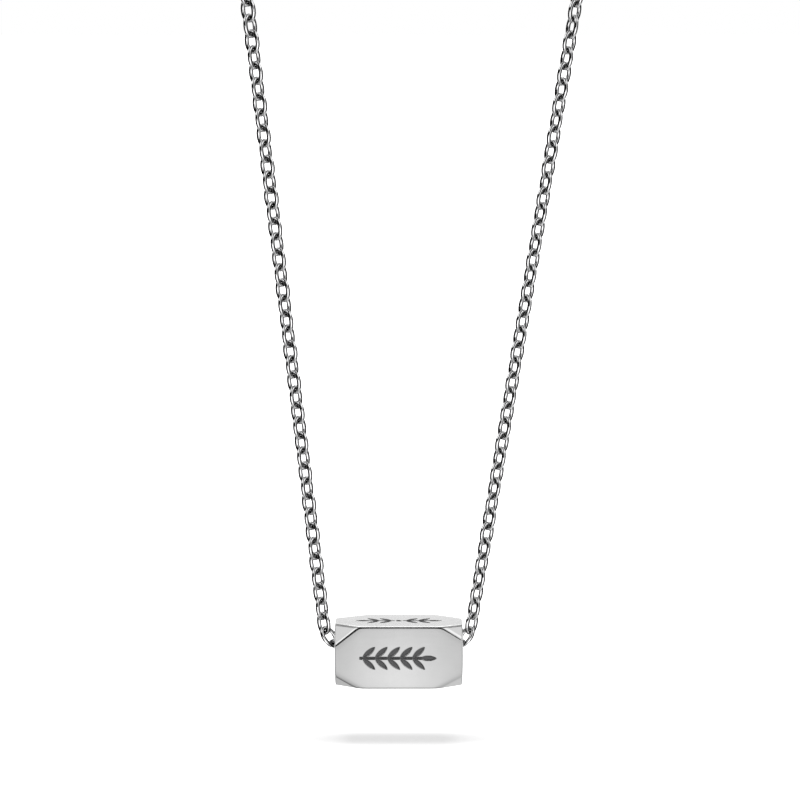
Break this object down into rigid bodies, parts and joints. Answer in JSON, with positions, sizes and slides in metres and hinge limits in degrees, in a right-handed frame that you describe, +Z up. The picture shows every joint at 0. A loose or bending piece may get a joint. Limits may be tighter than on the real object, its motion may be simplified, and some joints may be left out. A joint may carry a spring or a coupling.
{
  "type": "spinning bar necklace",
  "caption": "Fine oval-link chain in a closed loop with a ring clasp, threaded through a short square metal bar with cut corners that spins on it.",
  "frame": {"origin": "hang point at the top of the loop: the middle of the straight row of jump ring, clasp and jump ring, in the plane of the chain", "axes": "+Z up along the hanging loop, +X to the viewer's right, -Y towards the viewer, who sees the engraved front face"},
  "size_m": [0.0636, 0.0074, 0.2027],
  "materials": {
    "bar_metal": "satin polish, sprigs engraved and darkened",
    "chain_metal": "polished stainless steel wire",
    "clasp_metal": "polished stainless steel"
  },
  "bodies": {
    "necklace": {"chain_left": "chain_metal", "chain_right": "chain_metal", "ring_left": "chain_metal", "ring_right": "chain_metal", "clasp": "clasp_metal"},
    "bar": {"bar": "bar_metal"}
  },
  "joints": [
    {"name": "bar_spin", "type": "hinge", "parent": "necklace", "child": "bar", "pos_m": [-0.00339, 0, -0.19609], "axis": [1, 0, 0], "continuous": true}
  ]
}
